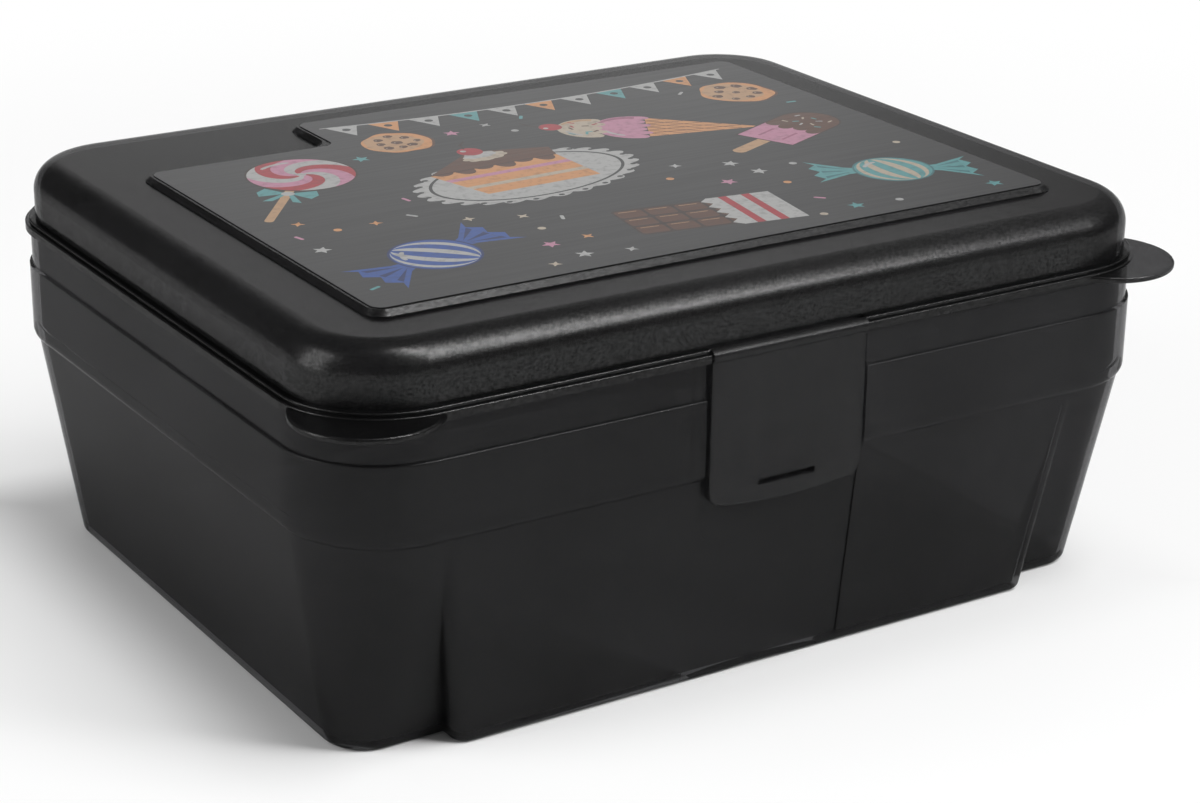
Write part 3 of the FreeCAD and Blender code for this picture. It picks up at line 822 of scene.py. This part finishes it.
class DESSERTBOX_OT_stage(bpy.types.Operator):
    """Set up the pale floor, the soft light and the camera"""

    bl_idname = "dessert_box.stage"
    bl_label = "Set stage"

    def execute(self, context):
        settings = context.scene.dessert_box_stage
        self.floor(context, settings)
        self.room(context, settings)
        self.lamp(context, "key_soft_box", KEY_PLACE, KEY_SIZE, settings.key_power)
        self.lamp(context, "strip_soft_box", STRIP_PLACE, STRIP_SIZE, settings.strip_power)
        self.camera(context, settings)
        context.scene.view_settings.view_transform = "Standard"
        return {"FINISHED"}

    def floor(self, context, settings):
        """Pale floor, a little uneven in tone, that glows plain white away from the box and half white beside
        it, where the glow is painted light over the box's shadow.
        """
        bm = bmesh.new()
        bmesh.ops.create_grid(bm, x_segments=8, y_segments=8, size=settings.floor_size / 2)
        mesh = bpy.data.meshes.new("floor")
        bm.to_mesh(mesh)
        bm.free()
        material, tree, shader = new_material("pale_floor")
        patch_size, darker = 0.4, 0.985
        tone = add_range(tree, noise_at(tree, patch_size, 2.0), NOISE_LOW, NOISE_HIGH, 0.0, 1.0)
        shade = [darker * c for c in settings.floor_colour]
        tree.links.new(add_mix(tree, tone, shade, settings.floor_colour), shader.inputs["Base Color"])
        shader.inputs["Roughness"].default_value = 0.9
        shader.inputs["Specular IOR Level"].default_value = 0.1
        white = add_node(tree, "ShaderNodeEmission")
        path = add_node(tree, "ShaderNodeLightPath")
        seen = add_math(tree, "ADD", path.outputs["Is Camera Ray"], path.outputs["Is Glossy Ray"])
        seen = add_math(tree, "ADD", seen, path.outputs["Is Transmission Ray"])
        seen = add_math(tree, "MINIMUM", seen, 1.0)
        # Lit floor mixed with emitted white: a glow, not a lamp
        mix = add_node(tree, "ShaderNodeMixShader")
        tree.links.new(add_math(tree, "MULTIPLY", self.white_glow_share(tree), seen), mix.inputs[0])
        tree.links.new(shader.outputs[0], mix.inputs[1])
        tree.links.new(white.outputs[0], mix.inputs[2])
        tree.links.new(mix.outputs[0], tree.nodes["Material Output"].inputs["Surface"])
        mesh.materials.append(material)
        floor = bpy.data.objects.new("floor", mesh)
        context.scene.collection.objects.link(floor)

    def white_glow_share(self, tree):
        """Share of glowing white in the floor, seen by camera, glossy and transmission rays: none under the
        box, half beside it, which is painted light that lightens the box's shadow there, and all of it far
        away.
        """
        place = add_node(tree, "ShaderNodeTexCoord").outputs["Object"]
        split = add_node(tree, "ShaderNodeSeparateXYZ")
        tree.links.new(place, split.inputs[0])
        outside = []
        for axis in range(2):
            off_middle = add_math(tree, "ABSOLUTE", split.outputs[axis], 0.0)
            outside.append(add_math(tree, "SUBTRACT", off_middle, CAD_BOX[1][axis]))
        # Glow right beside the box: painted light that lightens the box's shadow on the floor by half
        beside = add_range(tree, add_math(tree, "MAXIMUM", *outside), -0.012, 0.018, 0.0, 0.5)
        reach = add_node(tree, "ShaderNodeVectorMath", operation="LENGTH")
        tree.links.new(place, reach.inputs[0])
        far = add_range(tree, reach.outputs["Value"], 0.22, 0.6, 0.0, 0.5)
        return add_math(tree, "ADD", beside, far)

    def room(self, context, settings):
        """Dim room with a bright wall behind the box and a tall reflector at its right.

        Their bounds are parts of the direction that is looked in, to the right, back and up.
        """
        world = bpy.data.worlds.new("studio")
        context.scene.world = world
        world.use_nodes = True
        tree = world.node_tree
        background = tree.nodes["Background"]
        towards = add_node(tree, "ShaderNodeTexCoord").outputs["Generated"]
        split = add_node(tree, "ShaderNodeSeparateXYZ")
        tree.links.new(towards, split.inputs[0])
        x, y, z = split.outputs
        low = add_range(tree, z, 0.4, 0.58, 1.0, 0.0)
        right = add_math(tree, "MULTIPLY", add_range(tree, x, -0.05, 0.5, 0.0, 1.0),
                         add_range(tree, x, 0.55, 0.69, 1.0, 0.15))
        behind = add_range(tree, y, -0.1, 0.4, 0.0, 1.0)
        lit = add_math(tree, "MULTIPLY", add_math(tree, "MULTIPLY", low, right), behind)
        lean = 0.28
        edge = add_math(tree, "SUBTRACT", x, add_math(tree, "MULTIPLY", z, lean))
        beside = add_math(tree, "MULTIPLY", add_range(tree, edge, 0.29, 0.36, 0.0, 1.0),
                          add_range(tree, z, 0.36, 0.54, 0.0, 1.0))
        beside = add_math(tree, "MULTIPLY", beside, add_range(tree, x, 0.56, 0.72, 1.0, 0.55))
        dim = add_mix(tree, lit, [settings.sky] * 3, [settings.wall] * 3)
        tree.links.new(add_mix(tree, beside, dim, [settings.side] * 3), background.inputs["Color"])
        background.inputs["Strength"].default_value = 1.0

    def lamp(self, context, name, place, size, power):
        """Soft box at a place, turned to the box."""
        light = bpy.data.lights.new(name, "AREA")
        light.shape = "RECTANGLE"
        light.size, light.size_y = size
        light.energy = power
        lamp = bpy.data.objects.new(name, light)
        lamp.location = place
        lamp.visible_transmission = False
        towards = Vector(LAMP_AIM) - Vector(place)
        lamp.rotation_euler = towards.to_track_quat("-Z", "Y").to_euler()
        context.scene.collection.objects.link(lamp)

    def camera(self, context, settings):
        """Camera at the photograph's place and angle."""
        data = bpy.data.cameras.new("camera")
        data.sensor_fit = "HORIZONTAL"
        data.sensor_width = SENSOR_MM
        data.lens = settings.lens_mm
        az, el, roll = settings.azimuth, settings.elevation, settings.roll
        back = Vector((math.sin(az) * math.cos(el), -math.cos(az) * math.cos(el), math.sin(el)))
        right = Vector((math.cos(az), math.sin(az), 0.0))
        up = back.cross(right)
        turned_right = math.cos(roll) * right - math.sin(roll) * up
        turned_up = math.sin(roll) * right + math.cos(roll) * up
        axes = Matrix((turned_right, turned_up, back)).transposed()
        camera = bpy.data.objects.new("camera", data)
        camera.matrix_world = Matrix.Translation(settings.camera_at) @ axes.to_4x4()
        context.scene.collection.objects.link(camera)
        context.scene.camera = camera


class DESSERTBOX_PT_panel(bpy.types.Panel):
    """Buttons and settings of the dessert box"""

    bl_idname = "DESSERTBOX_PT_panel"
    bl_label = "Dessert box"
    bl_space_type = "VIEW_3D"
    bl_region_type = "UI"
    bl_category = "Dessert box"

    def draw(self, context):
        for operator in PIECES:
            self.layout.operator(operator.bl_idname)
        for name in SETTINGS:
            box = self.layout.box()
            group = getattr(context.scene, name)
            for key in group.__annotations__:
                box.prop(group, key)


PIECES = (
    DESSERTBOX_OT_tub,
    DESSERTBOX_OT_lid,
    DESSERTBOX_OT_latch,
    DESSERTBOX_OT_film,
    DESSERTBOX_OT_stage,
)
SETTINGS = {
    "dessert_box_plastic": PlasticSettings,
    "dessert_box_print": PrintSettings,
    "dessert_box_stage": StageSettings,
}


def register():
    """Registers the settings, the operators and the panel."""
    for name, group in SETTINGS.items():
        bpy.utils.register_class(group)
        setattr(bpy.types.Scene, name, PointerProperty(type=group))
    for kind in (*PIECES, DESSERTBOX_PT_panel):
        bpy.utils.register_class(kind)


def unregister():
    """Takes them out again."""
    for kind in (DESSERTBOX_PT_panel, *reversed(PIECES)):
        bpy.utils.unregister_class(kind)
    for name, group in SETTINGS.items():
        delattr(bpy.types.Scene, name)
        bpy.utils.unregister_class(group)


def main():
    """Builds every piece and the stage."""
    register()
    bpy.ops.dessert_box.tub()
    bpy.ops.dessert_box.lid()
    bpy.ops.dessert_box.latch()
    bpy.ops.dessert_box.film()
    bpy.ops.dessert_box.stage()


if __name__ == "__main__":
    main()
